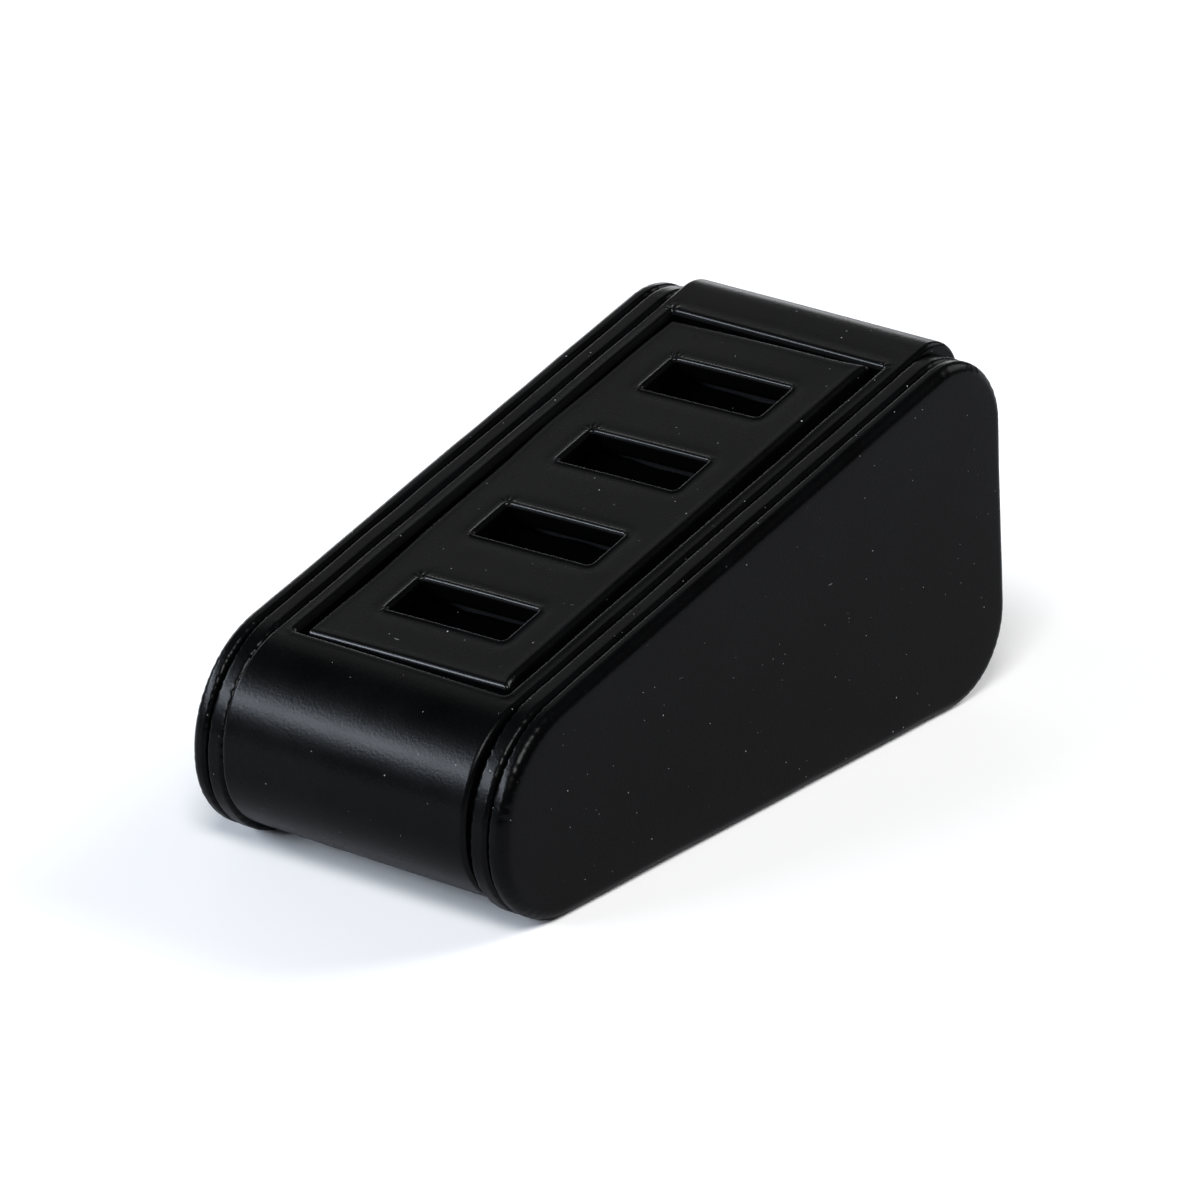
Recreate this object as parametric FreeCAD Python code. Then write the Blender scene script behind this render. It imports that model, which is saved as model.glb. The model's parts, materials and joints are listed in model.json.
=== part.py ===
import FreeCAD, Part
import math
import os

# Four-slot display ramp for finger rings: a wedge-shaped box wrapped in black
# leatherette, held between two double-layer cheeks, with a loose slotted
# insert that drops into a recess in the sloping top.
# Frame: X across, Y from the low nose to the high back, Z up, millimetres.
# Origin: on the table plane, under the middle of the whole stand.

# ---- overall sizes --------------------------------------------------------
overall_width = 63.5
cheek_length = 122.0
back_height = 61.2
front_height = 30.6
nose_proud = 0.6          # the wrapped body stands ahead of the cheeks at the nose

# ---- cheek outline and layers ----------------------------------------------
cheek_nose_top_r = 20.0
cheek_back_top_r = 12.3
cheek_back_bottom_r = 14.0
nose_flat = 0.4           # short upright between the two arcs of a nose
outer_cheek_t = 3.35
inner_cheek_t = 3.95
cheek_rim_r = 2.0         # soft outer rim of the padded outer cheek
cheek_inner_rim_r = 0.7   # tighter rim where two layers meet
outer_pad_t = 0.8         # foam sheet under the outer face
turned_border = 9.0       # leatherette glued down on the hidden face

# ---- body outline ----------------------------------------------------------
body_lift = 2.0           # body stands clear of the table between the cheeks
back_inset = 1.8          # body stops short of the cheeks at the back
body_nose_top_r = 17.6
body_back_top_r = 6.9
body_back_bottom_r = 12.0

# ---- sheet and board stock -------------------------------------------------
wrap_t = 0.6              # leatherette
side_board_t = 2.55
base_board_t = 3.0
back_board_t = 3.0
rear_rail_depth = 15.0
tray_floor_t = 2.0
lining_t = 0.5
batten = 5.0
felt_t = 0.5
felt_margin = 1.5

# ---- recess in the top -----------------------------------------------------
recess_near = 14.5        # from the nose corner of the cheek outline, up the slope
near_gap = 0.8
far_gap = 1.3
seat_gap = 0.06           # air under the lowest corner of the insert

# ---- loose insert ----------------------------------------------------------
insert_width = 39.8
insert_length = 91.9
insert_board_t = 2.2
insert_rim_r = 0.6
window_border = 4.0       # leatherette turned under each window edge
outer_border = 5.0
insert_skew_deg = 0.6     # it lies a little skewed and tilted in its recess
insert_tilt_deg = 1.0
insert_across = -0.5      # and nearer to the left wall than to the right

# ---- ring slots and their foam ---------------------------------------------
slot_count = 4
slot_width = 23.6
slot_length = 8.6
slot_pitch = 21.33
first_slot = 9.8          # from the near edge of the insert to the first slot
slot_corner_r = 0.9
slot_across = 0.4         # the slots are cut a little to the right of the insert's middle
roll_t = 5.9
roll_gap = 0.6            # slit that the ring shank is pushed into
roll_overhang = 3.0       # foam runs on past both ends of the slot
roll_height = 6.2
roll_clearance = 0.8      # under the turned leatherette
spacer_clearance = 0.3
insert_base_t = 1.2

# ---- worked-out values -------------------------------------------------------
V = FreeCAD.Vector
half_width = overall_width / 2
layer_x = half_width - outer_cheek_t
body_x = layer_x - inner_cheek_t
side_x = body_x - side_board_t
recess_x = side_x - wrap_t
cheek_front = -(cheek_length + nose_proud) / 2 + nose_proud
cheek_back = cheek_front + cheek_length
slope = math.atan2(back_height - front_height, cheek_length)
recess_length = near_gap + insert_length + far_gap
recess_far = recess_near + recess_length
insert_thickness = wrap_t + insert_board_t + wrap_t
roll_top = insert_thickness + roll_clearance
insert_base_top = roll_top + roll_height
insert_bottom = insert_base_top + insert_base_t
tilt_drop = insert_width / 2 * math.sin(math.radians(insert_tilt_deg))
recess_floor = insert_bottom + tilt_drop + seat_gap
far_away = 4 * (cheek_length + overall_width + back_height)


def slope_height(y, drop):
    """Height of the top slope at y, lowered square to the slope by drop."""
    return front_height + (y - cheek_front) * math.tan(slope) - drop / math.cos(slope)


def nose_bottom_radius(top_radius, height):
    """Radius of the lower nose arc: what the upper arc leaves of an upright of this height."""
    upper_arc = top_radius * math.tan((math.pi / 2 - slope) / 2)
    return height - upper_arc - nose_flat


def rounded_outline(corners, radii):
    """Closed wire in a YZ plane: straight sides with one tangent arc per corner."""
    arcs = []
    count = len(corners)
    for i in range(count):
        corner = V(0, *corners[i])
        to_last = (V(0, *corners[i - 1]) - corner).normalize()
        to_next = (V(0, *corners[(i + 1) % count]) - corner).normalize()
        half_angle = to_last.getAngle(to_next) / 2
        cut = radii[i] / math.tan(half_angle)
        inward = (to_last + to_next).normalize()
        reach = radii[i] / math.sin(half_angle) - radii[i]
        arcs.append((corner + to_last * cut, corner + inward * reach, corner + to_next * cut))
    edges = []
    for i in range(count):
        start, middle, end = arcs[i]
        edges.append(Part.Arc(start, middle, end).toShape())
        edges.append(Part.makeLine(end, arcs[(i + 1) % count][0]))
    return Part.Wire(edges)


body_front = cheek_front - nose_proud
cheek_radii = (nose_bottom_radius(cheek_nose_top_r, front_height), cheek_nose_top_r,
               cheek_back_top_r, cheek_back_bottom_r)
body_nose_height = slope_height(body_front, 0) - body_lift
body_radii = (nose_bottom_radius(body_nose_top_r, body_nose_height), body_nose_top_r,
              body_back_top_r, body_back_bottom_r)


def prism(wire, x0, x1):
    """Solid made by carrying a YZ outline from x0 to x1."""
    solid = Part.Face(wire).extrude(V(x1 - x0, 0, 0))
    solid.translate(V(x0, 0, 0))
    return solid


def cheek_outline(inset):
    """Side outline of a cheek, moved inwards by inset all round."""
    y0 = cheek_front + inset
    y1 = cheek_back - inset
    corners = ((y0, inset), (y0, slope_height(y0, inset)), (y1, slope_height(y1, inset)), (y1, inset))
    return rounded_outline(corners, [r - inset for r in cheek_radii])


def body_outline(inset):
    """Side outline of the wrapped body, moved inwards by inset all round."""
    y0 = body_front + inset
    y1 = cheek_back - back_inset - inset
    z0 = body_lift + inset
    corners = ((y0, z0), (y0, slope_height(y0, inset)), (y1, slope_height(y1, inset)), (y1, z0))
    return rounded_outline(corners, [r - inset for r in body_radii])


def on_slope(shape):
    """Places a shape drawn flat (Y up the slope, Z out of it) on the top slope."""
    shape.rotate(V(0, 0, 0), V(1, 0, 0), math.degrees(slope))
    shape.translate(V(0, cheek_front, front_height))
    return shape


def flat_box(x0, x1, s0, s1, d0, d1):
    """Box drawn flat: x0..x1 across, s0..s1 up the slope, d0..d1 below the surface."""
    return Part.makeBox(x1 - x0, s1 - s0, d1 - d0, V(x0, s0, -d1))


def rim_edges(solid, x):
    """Edges of a prism that lie in the plane at x."""
    return [e for e in solid.Edges if abs(e.BoundBox.XMin - x) < 1e-4 and abs(e.BoundBox.XMax - x) < 1e-4]


def soft_plate(inset, x0, x1, rim0, rim1):
    """Cheek-shaped plate with its rims rounded by rim0 at x0 and rim1 at x1."""
    plate = prism(cheek_outline(inset), x0, x1)
    plate = plate.makeFillet(rim0, rim_edges(plate, x0))
    return plate.makeFillet(rim1, rim_edges(plate, x1))


def mirrored(shape):
    """The same piece on the other side of the stand."""
    return shape.mirror(V(0, 0, 0), V(1, 0, 0))


nodes = {}


def add_pair(name, right_shape):
    """Stores a right-hand piece and its mirror image."""
    nodes[name + "_right"] = right_shape
    nodes[name + "_left"] = mirrored(right_shape)


# ---- cheeks ------------------------------------------------------------------
# Inner cheek: a board wrapped in leatherette, the raw face turned outwards.
inner_board_rim = max(cheek_inner_rim_r - wrap_t, wrap_t / 4)
inner_plate = soft_plate(0, body_x, layer_x, cheek_inner_rim_r, cheek_inner_rim_r)
inner_core = soft_plate(wrap_t, body_x + wrap_t, layer_x - wrap_t, inner_board_rim, inner_board_rim)
inner_raw_face = prism(cheek_outline(turned_border), layer_x - wrap_t, layer_x)
add_pair("inner_cheek_board", inner_core)
add_pair("inner_cheek_wrap", inner_plate.cut(inner_core).cut(inner_raw_face))

# Outer cheek: board and a foam sheet under the leatherette, raw face inwards.
outer_core_rim = max(cheek_rim_r - wrap_t, wrap_t / 4)
outer_plate = soft_plate(0, layer_x, half_width, cheek_inner_rim_r, cheek_rim_r)
outer_core = soft_plate(wrap_t, layer_x + wrap_t, half_width - wrap_t, inner_board_rim, outer_core_rim)
outer_raw_face = prism(cheek_outline(turned_border), layer_x, layer_x + wrap_t)
pad_plane = half_width - wrap_t - outer_pad_t
pad_side = Part.makeBox(far_away, far_away, far_away, V(pad_plane, -far_away / 2, -far_away / 2))
add_pair("outer_cheek_board", outer_core.cut(pad_side))
add_pair("outer_cheek_pad", outer_core.common(pad_side))
add_pair("outer_cheek_wrap", outer_plate.cut(outer_core).cut(outer_raw_face))

# ---- body box ------------------------------------------------------------------
# Side boards carry the whole outline; the other boards fit between them.
add_pair("side_board", prism(body_outline(wrap_t), side_x, body_x))

inside = prism(body_outline(wrap_t), -side_x, side_x)
core_front = body_front + wrap_t
core_back = cheek_back - back_inset - wrap_t
core_bottom = body_lift + wrap_t
nose_end = recess_near - wrap_t
rail_start = recess_far + wrap_t

nose_cut = on_slope(flat_box(-side_x, side_x, -far_away, nose_end, -far_away, far_away))
nodes["nose_block"] = inside.common(nose_cut)

rail_cut = on_slope(flat_box(-side_x, side_x, rail_start, far_away, -far_away, rear_rail_depth))
nodes["rear_rail"] = inside.common(rail_cut)

heel = body_back_bottom_r
heel_cut = Part.makeBox(2 * side_x, heel, heel, V(-side_x, core_back - heel, core_bottom))
nodes["heel_block"] = inside.common(heel_cut)

base_cut = Part.makeBox(2 * side_x, core_back - heel - core_front, base_board_t,
                        V(-side_x, core_front, core_bottom))
nodes["base_board"] = inside.common(base_cut).cut(nose_cut)

back_cut = Part.makeBox(2 * side_x, back_board_t, far_away,
                        V(-side_x, core_back - back_board_t, core_bottom + heel))
nodes["back_board"] = inside.common(back_cut).cut(rail_cut)

# Floor of the recess, its lining, and the battens that carry it.
floor_top = recess_floor + lining_t
batten_top = floor_top + tray_floor_t
nodes["tray_lining"] = on_slope(flat_box(-recess_x, recess_x, recess_near, recess_far,
                                         recess_floor, floor_top))
nodes["tray_floor"] = on_slope(flat_box(-side_x, side_x, nose_end, rail_start, floor_top, batten_top))
add_pair("tray_batten", on_slope(flat_box(side_x - batten, side_x, nose_end, rail_start,
                                          batten_top, batten_top + batten)))

# Leatherette band: once round the body, cut open over the recess and turned
# down its four walls as far as the floor.
band = prism(body_outline(0), -body_x, body_x).cut(prism(body_outline(wrap_t), -body_x, body_x))
recess_mouth = on_slope(flat_box(-recess_x, recess_x, recess_near, recess_far, -wrap_t, 2 * wrap_t))
band = band.cut(recess_mouth)
lip_outer = flat_box(-side_x, side_x, nose_end, rail_start, wrap_t, floor_top)
lip_inner = flat_box(-recess_x, recess_x, recess_near, recess_far, 0, floor_top)
lips = on_slope(lip_outer.cut(lip_inner))
nodes["band_wrap"] = band.fuse(lips).removeSplitter()

# Felt glued over the band's seam underneath.
felt_y0 = body_front + body_radii[0] + felt_margin
felt_y1 = cheek_back - back_inset - body_back_bottom_r - felt_margin
nodes["base_felt"] = Part.makeBox(2 * (body_x - felt_margin), felt_y1 - felt_y0, felt_t,
                                  V(felt_margin - body_x, felt_y0, body_lift - felt_t))

# ---- loose insert --------------------------------------------------------------
insert_near = recess_near + near_gap
insert_middle = insert_near + insert_length / 2
insert_x = insert_width / 2


def seated(shape):
    """Tilts and skews a flat-drawn insert piece as it lies, then sets it on the slope."""
    centre = V(0, insert_middle, 0)
    shape.rotate(centre, V(0, 1, 0), -insert_tilt_deg)
    shape.rotate(centre, V(0, 0, 1), insert_skew_deg)
    shape.translate(V(insert_across, 0, 0))
    return on_slope(shape)


def insert_box(grow, d0, d1):
    """Flat box over the whole insert, shrunk inwards by grow < 0."""
    return flat_box(-insert_x - grow, insert_x + grow, insert_near - grow,
                    insert_near + insert_length + grow, d0, d1)


def upright_edges(solid):
    """Edges that stand square to the sheet in a flat-drawn box."""
    found = []
    for edge in solid.Edges:
        box = edge.BoundBox
        if box.XLength < 1e-4 and box.YLength < 1e-4:
            found.append(edge)
    return found


def slot_start(index):
    """Near edge of slot index, up the slope."""
    return insert_near + first_slot + index * slot_pitch


def window(index, grow, d0, d1):
    """Flat window of slot index with round corners, made larger by grow."""
    half = slot_width / 2 + grow
    near = slot_start(index) - grow
    box = flat_box(slot_across - half, slot_across + half, near, near + slot_length + 2 * grow, d0, d1)
    return box.makeFillet(slot_corner_r + max(grow, 0), upright_edges(box))


board = insert_box(-wrap_t, wrap_t, wrap_t + insert_board_t)
sleeve = insert_box(0, 0, insert_thickness)
sleeve = sleeve.makeFillet(insert_rim_r, upright_edges(sleeve))
top_rim = [e for e in sleeve.Edges if abs(e.BoundBox.ZMin) < 1e-4 and abs(e.BoundBox.ZMax) < 1e-4]
sleeve = sleeve.makeFillet(insert_rim_r / 2, top_rim)
for i in range(slot_count):
    board = board.cut(window(i, wrap_t, 0, insert_thickness))
    sleeve = sleeve.cut(window(i, 0, -wrap_t, insert_thickness + wrap_t))
sleeve = sleeve.cut(board)

# Raw underside left between the turned borders: one strip beside each slot row.
underside = insert_box(-outer_border, wrap_t + insert_board_t, insert_thickness)
for i in range(slot_count):
    underside = underside.cut(window(i, window_border, 0, 2 * insert_thickness))
sleeve = sleeve.cut(underside)
nodes["insert_board"] = seated(board)
nodes["insert_wrap"] = seated(sleeve)
nodes["insert_base"] = seated(insert_box(-wrap_t, insert_base_top, insert_bottom))

# Foam: two rolls meet under each slot, and flat spacers carry the board.
roll_left = slot_across - slot_width / 2 - roll_overhang
roll_right = slot_across + slot_width / 2 + roll_overhang


def roll(near):
    """Foam strip with a half-round crest, its near face at near up the slope."""
    r = roll_t / 2
    foot = -insert_base_top
    shoulder = -roll_top - r
    left_top = V(0, near, shoulder)
    right_top = V(0, near + roll_t, shoulder)
    left_foot = V(0, near, foot)
    right_foot = V(0, near + roll_t, foot)
    edges = [Part.Arc(left_top, V(0, near + r, -roll_top), right_top).toShape(),
             Part.makeLine(right_top, right_foot),
             Part.makeLine(right_foot, left_foot),
             Part.makeLine(left_foot, left_top)]
    return prism(Part.Wire(edges), roll_left, roll_right)


spacer_edges = [insert_near + wrap_t]
for i in range(slot_count):
    centre = slot_start(i) + slot_length / 2
    front_face = centre - roll_gap / 2 - roll_t
    back_face = centre + roll_gap / 2
    nodes["slot_%d_front_roll" % (i + 1)] = seated(roll(front_face))
    nodes["slot_%d_back_roll" % (i + 1)] = seated(roll(back_face))
    spacer_edges += [front_face - spacer_clearance, back_face + roll_t + spacer_clearance]
spacer_edges.append(insert_near + insert_length - wrap_t)
for i in range(slot_count + 1):
    s0 = spacer_edges[2 * i]
    s1 = spacer_edges[2 * i + 1]
    spacer = flat_box(roll_left, roll_right, s0, s1, insert_thickness, insert_base_top)
    nodes["foam_spacer_%d" % (i + 1)] = seated(spacer)

# ---- export --------------------------------------------------------------------
os.makedirs("parts", exist_ok=True)
for name, shape in nodes.items():
    shape.exportStep("parts/" + name + ".step")
    box = shape.BoundBox
    print("%-22s solids %d valid %s vol %8.1f  x %.2f..%.2f y %.2f..%.2f z %.2f..%.2f" % (
        name, len(shape.Solids), shape.isValid(), shape.Volume,
        box.XMin, box.XMax, box.YMin, box.YMax, box.ZMin, box.ZMax))
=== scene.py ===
import json
import math
import bpy
import numpy as np
from mathutils import Matrix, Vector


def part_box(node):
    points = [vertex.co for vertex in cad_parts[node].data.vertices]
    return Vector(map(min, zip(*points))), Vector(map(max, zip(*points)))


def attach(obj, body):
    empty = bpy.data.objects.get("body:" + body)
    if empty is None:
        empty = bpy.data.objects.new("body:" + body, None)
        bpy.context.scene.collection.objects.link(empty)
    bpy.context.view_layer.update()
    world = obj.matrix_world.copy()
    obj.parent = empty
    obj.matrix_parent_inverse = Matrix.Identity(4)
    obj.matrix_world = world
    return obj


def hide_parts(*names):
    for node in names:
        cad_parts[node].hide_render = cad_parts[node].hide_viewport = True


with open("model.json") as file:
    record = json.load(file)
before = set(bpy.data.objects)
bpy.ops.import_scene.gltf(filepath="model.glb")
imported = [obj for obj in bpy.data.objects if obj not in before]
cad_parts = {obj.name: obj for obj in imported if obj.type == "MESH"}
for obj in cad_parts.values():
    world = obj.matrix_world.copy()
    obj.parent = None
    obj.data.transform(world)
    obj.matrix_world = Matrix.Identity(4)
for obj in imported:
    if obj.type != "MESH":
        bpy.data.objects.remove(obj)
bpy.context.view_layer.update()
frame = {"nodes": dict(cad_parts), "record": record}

# ---- black leatherette ---------------------------------------------------------
# Thin black PU leatherette on a knit back: a satin skin with a very fine pebble,
# softly uneven gloss, and the specks of lint and hair-thin rubs that it picks up.


def node_group(name, inputs, outputs):
    """Empty shader node group with named float inputs and named outputs."""
    group = bpy.data.node_groups.new(name, "ShaderNodeTree")
    for label, value in inputs:
        socket = group.interface.new_socket(label, in_out="INPUT", socket_type="NodeSocketFloat")
        socket.default_value = value
    for label in outputs:
        group.interface.new_socket(label, in_out="OUTPUT", socket_type="NodeSocketFloat")
    return group, group.nodes.new("NodeGroupInput"), group.nodes.new("NodeGroupOutput")


def node(tree, kind, settings=(), **sockets):
    """Adds a node, sets its properties, and fills its sockets with values or links."""
    made = tree.nodes.new(kind)
    for key, value in dict(settings).items():
        setattr(made, key, value)
    for key, value in sockets.items():
        index = int(key[1:]) if key[1:].isdigit() else key.replace("_", " ")
        target = made.inputs[index]
        if isinstance(value, bpy.types.NodeSocket):
            tree.links.new(value, target)
        else:
            target.default_value = value
    return made


def maths(tree, operation, first, second=0.5, clamp=False):
    """One Math node; returns its output."""
    made = node(tree, "ShaderNodeMath", {"operation": operation, "use_clamp": clamp}, i0=first, i1=second)
    return made.outputs[0]


def place_and_scale(tree, size, turn=(0, 0, 0)):
    """Object coordinates, turned and scaled per metre."""
    place = node(tree, "ShaderNodeTexCoord").outputs["Object"]
    made = node(tree, "ShaderNodeMapping", {"vector_type": "POINT"}, Vector=place, Rotation=turn, Scale=size)
    return made.outputs["Vector"]


# Pebble: a smoothed cell pattern plus fine noise gives the height; a slow noise
# gives the uneven gloss where the skin was pulled or handled.
grain, grain_in, grain_out = node_group(
    "leather_grain", [("Pebble size", 2100.0), ("Unevenness size", 70.0)], ["Height", "Unevenness", "Fleck"])
spot = place_and_scale(grain, (1, 1, 1))
cells = node(grain, "ShaderNodeTexVoronoi", {"feature": "SMOOTH_F1"}, Vector=spot,
             Scale=grain_in.outputs["Pebble size"], Smoothness=0.6)
fine = node(grain, "ShaderNodeTexNoise", (), Vector=spot, Scale=grain_in.outputs["Pebble size"],
            Detail=3.0, Roughness=0.65)
pebble = maths(grain, "MULTIPLY_ADD", cells.outputs["Distance"], 0.7)
grain.links.new(fine.outputs["Fac"], pebble.node.inputs[2])
grain.links.new(pebble, grain_out.inputs["Height"])
slow = node(grain, "ShaderNodeTexNoise", (), Vector=spot, Scale=grain_in.outputs["Unevenness size"],
            Detail=5.0, Roughness=0.6)
grain.links.new(slow.outputs["Fac"], grain_out.inputs["Unevenness"])
grain.links.new(maths(grain, "MULTIPLY", maths(grain, "ADD", slow.outputs["Fac"], fine.outputs["Fac"]), 0.5),
                grain_out.inputs["Fleck"])

# Lint: round specks at the middle of a few cells, and short fibres from cells
# stretched along two slanting directions.
lint, lint_in, lint_out = node_group("lint", [("Cover", 0.5)], ["Mask"])
found = None
for turn, stretch, radius, few in (((0.3, 0.7, 0.2), (330, 330, 330), 0.042, 0.50),
                                   ((0.9, 0.2, 1.1), (560, 560, 560), 0.045, 0.42),
                                   ((0.4, 1.2, 0.5), (900, 90, 900), 0.050, 0.06),
                                   ((1.1, 0.4, 2.2), (90, 1000, 1000), 0.050, 0.05)):
    cell = node(lint, "ShaderNodeTexVoronoi", {"feature": "F1"}, Vector=place_and_scale(lint, stretch, turn),
                Scale=1.0)
    near = maths(lint, "LESS_THAN", cell.outputs["Distance"], radius)
    split = node(lint, "ShaderNodeSeparateColor", (), Color=cell.outputs["Color"])
    share = maths(lint, "MULTIPLY", lint_in.outputs["Cover"], few * 2)
    chosen = maths(lint, "LESS_THAN", split.outputs["Red"], share)
    bright = maths(lint, "MULTIPLY", split.outputs["Green"], near)
    part_mask = maths(lint, "MULTIPLY", chosen, bright)
    found = part_mask if found is None else maths(lint, "MAXIMUM", found, part_mask)
lint.links.new(found, lint_out.inputs["Mask"])


lint_colour = (0.42, 0.42, 0.44, 1)
# painted shade: where a point lies down inside an opening, its colour is mixed towards this near black in
# place of the shade that falls there
painted_shade_colour = (0.0005, 0.0005, 0.0006, 1)      # skin well down inside an opening
deep_dulling = 0.6                             # roughness added there
darkest, lightest = 0.45, 1.7                  # slow variation, as shares of the skin's colour
taut_coat, taut_coat_roughness = 0.35, 0.20    # harder gloss of skin pulled over an edge


def leatherette(name, colour, gloss, pebble_depth, cover, unevenness=0.10, shine=0.12):
    """Satin black skin: colour and roughness vary slowly, pebble in the normal, lint on top, and painted
    shade darkens the colour down inside openings.
    """
    made = bpy.data.materials.new(name)
    made.use_nodes = True
    tree = made.node_tree
    skin = tree.nodes["Principled BSDF"]
    skin.inputs["Specular IOR Level"].default_value = shine
    skin.inputs["IOR"].default_value = 1.5
    skin.inputs["Coat Roughness"].default_value = taut_coat_roughness
    taut = node(tree, "ShaderNodeAttribute", {"attribute_name": "taut"}).outputs["Fac"]
    tree.links.new(maths(tree, "MULTIPLY", taut, taut_coat), skin.inputs["Coat Weight"])
    pattern = node(tree, "ShaderNodeGroup", {"node_tree": grain})
    specks = node(tree, "ShaderNodeGroup", {"node_tree": lint})
    specks.inputs["Cover"].default_value = cover
    spread = node(tree, "ShaderNodeMapRange", (), Value=pattern.outputs["Fleck"],
                  From_Min=0.36, From_Max=0.66)
    tone = node(tree, "ShaderNodeMixRGB", {"blend_type": "MIX"}, Fac=spread.outputs["Result"],
                Color1=tuple(c * darkest for c in colour) + (1,),
                Color2=tuple(c * lightest for c in colour) + (1,))
    dusted = node(tree, "ShaderNodeMixRGB", {"blend_type": "MIX"}, Fac=specks.outputs["Mask"],
                  Color1=tone.outputs["Color"], Color2=lint_colour)
    # painted shade: the depth mark mixes the colour towards near black down inside openings, and also adds
    # roughness there
    painted_shade = node(tree, "ShaderNodeAttribute", {"attribute_name": "painted_shade"}).outputs["Fac"]
    dusted = node(tree, "ShaderNodeMixRGB", {"blend_type": "MIX"}, Fac=painted_shade,
                  Color1=dusted.outputs["Color"], Color2=painted_shade_colour)
    tree.links.new(dusted.outputs["Color"], skin.inputs["Base Color"])
    rough = node(tree, "ShaderNodeMapRange", (), Value=pattern.outputs["Unevenness"],
                 From_Min=0.3, From_Max=0.7,
                 To_Min=gloss - unevenness / 2, To_Max=gloss + unevenness / 2)
    dull = node(tree, "ShaderNodeMapRange", (), Value=painted_shade, To_Min=0.0, To_Max=deep_dulling)
    roughness = maths(tree, "ADD", rough.outputs["Result"], dull.outputs["Result"], True)
    tree.links.new(roughness, skin.inputs["Roughness"])
    bump = node(tree, "ShaderNodeBump", (), Strength=1.0, Distance=pebble_depth,
                Height=pattern.outputs["Height"])
    tree.links.new(bump.outputs["Normal"], skin.inputs["Normal"])
    return made


black_skin = leatherette("black_leatherette", (0.0011, 0.0012, 0.0014), gloss=0.27, pebble_depth=0.000015,
                         cover=0.5, unevenness=0.05)
# Pulled down inside an opening the skin is slack and dulled by glue.
inner_skin = leatherette("black_leatherette_inside", (0.0012, 0.0012, 0.0013), gloss=0.60,
                         pebble_depth=0.000011, cover=0.0, unevenness=0.05, shine=0.02)

# ---- outer cheeks --------------------------------------------------------------
# The outermost layer on each side: a thin board with foam on its outer face,
# pulled into leatherette, so its outer rim is full and soft and its face is plain.
outer_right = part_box("outer_cheek_wrap_right")
inner_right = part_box("inner_cheek_wrap_right")
band_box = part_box("band_wrap")
cheek_front = outer_right[0].y
cheek_back = outer_right[1].y
nose_height = 0.0306          # height of the sloping top's line at the front of the cheeks
slope_run = 0.1220            # it rises as much again over this length
slope_angle = math.atan2(nose_height, slope_run)
slope_cos = math.cos(slope_angle)
slope_sin = math.sin(slope_angle)
cheek_radii = (0.01459, 0.0200, 0.0123, 0.0140)      # heel of the nose, nose, back top, back foot
cheek_arc_steps = (46, 84, 40, 36)
cheek_spacing = 0.0011
face_border = 0.0075          # width of the rings of faces inside each rim
rim_flat, rim_fade = 0.001, 0.0015                   # how far in from the rim the swell reaches


def side_outline(front, back, foot, radii, arc_steps, spacing, slope_stops=None):
    """Wedge outline in the YZ plane: four arcs, run clockwise from the heel of the nose.
    Arc k is centre + radius * (cos a, sin a), with a falling from one side's outward
    direction to the next; straights join the arcs. Returns points, outward normals and
    the distance run. slope_stops are places up the slope that must be points."""
    tan = math.tan(slope_angle)
    shoulder = nose_height + (front - cheek_front) * tan
    turns = (-math.pi / 2, -math.pi, slope_angle - 1.5 * math.pi, -2 * math.pi, -2.5 * math.pi)
    centres = [(front + radii[0], foot + radii[0]),
               (front + radii[1], shoulder + radii[1] * tan - radii[1] / slope_cos),
               (back - radii[2], shoulder + (back - radii[2] - front) * tan - radii[2] / slope_cos),
               (back - radii[3], foot + radii[3])]
    points, normals = [], []
    for k in range(4):
        a = np.linspace(turns[k], turns[k + 1], arc_steps[k] + 1)
        n = np.stack([np.cos(a), np.sin(a)], 1)
        arc = np.array(centres[k]) + radii[k] * n
        after = (k + 1) % 4
        start = arc[-1]
        end = np.array(centres[after]) + radii[after] * n[-1]
        length = np.linalg.norm(end - start)
        if k == 1 and slope_stops is not None:
            first = (start[0] - cheek_front) / slope_cos
            t = (slope_stops - first) / length
            t = t[(t > 0.002) & (t < 0.998)]
        else:
            t = np.linspace(0, 1, max(int(length / spacing), 1) + 1)[1:-1]
        points += [arc, start + t[:, None] * (end - start)]
        normals += [n, np.repeat(n[-1:], len(t), 0)]
    points = np.concatenate(points)
    normals = np.concatenate(normals)
    step = np.linalg.norm(np.roll(points, -1, 0) - points, axis=1)
    keep = step > 1e-7
    return points[keep], normals[keep], np.concatenate([[0], np.cumsum(step[keep])])


def ripple(run, around, counts, heights, seed):
    """Sum of sines that closes on itself over the distance around, with seeded phases."""
    rng = np.random.default_rng(seed)
    total = np.zeros_like(run)
    for count, height in zip(counts, heights):
        total = total + height * np.sin(2 * np.pi * (count * run / around + rng.random()))
    return total


def new_piece(name, points, faces, material, body):
    """Mesh object from points and corner numbers, smooth, with its material and body."""
    mesh = bpy.data.meshes.new(name)
    mesh.from_pydata(points.tolist(), [], faces)
    mesh.update()
    mesh.shade_smooth()
    mesh.materials.append(material)
    piece = bpy.data.objects.new(name, mesh)
    bpy.context.scene.collection.objects.link(piece)
    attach(piece, body)
    return piece


def mark(piece, label, share):
    """Stores a value from 0 to 1 at each point: the depth mark says how far it lies down inside an
    opening, where the skin's colour is darkened towards near black as painted shade, and taut how tightly the
    skin is pulled over an edge there."""
    layer = piece.data.attributes.new(label, "FLOAT", "POINT")
    layer.data.foreach_set("value", np.clip(share, 0, 1).astype(np.float32))


def ring_faces(rings, around, flip):
    """Quads between successive closed rings of points, numbered ring by ring."""
    i = np.arange(around)
    j = np.arange(rings - 1)[:, None]
    a = j * around + i
    b = j * around + (i + 1) % around
    quads = np.stack([a, b, b + around, a + around], -1).reshape(-1, 4)
    return quads[:, ::-1] if flip else quads


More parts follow.
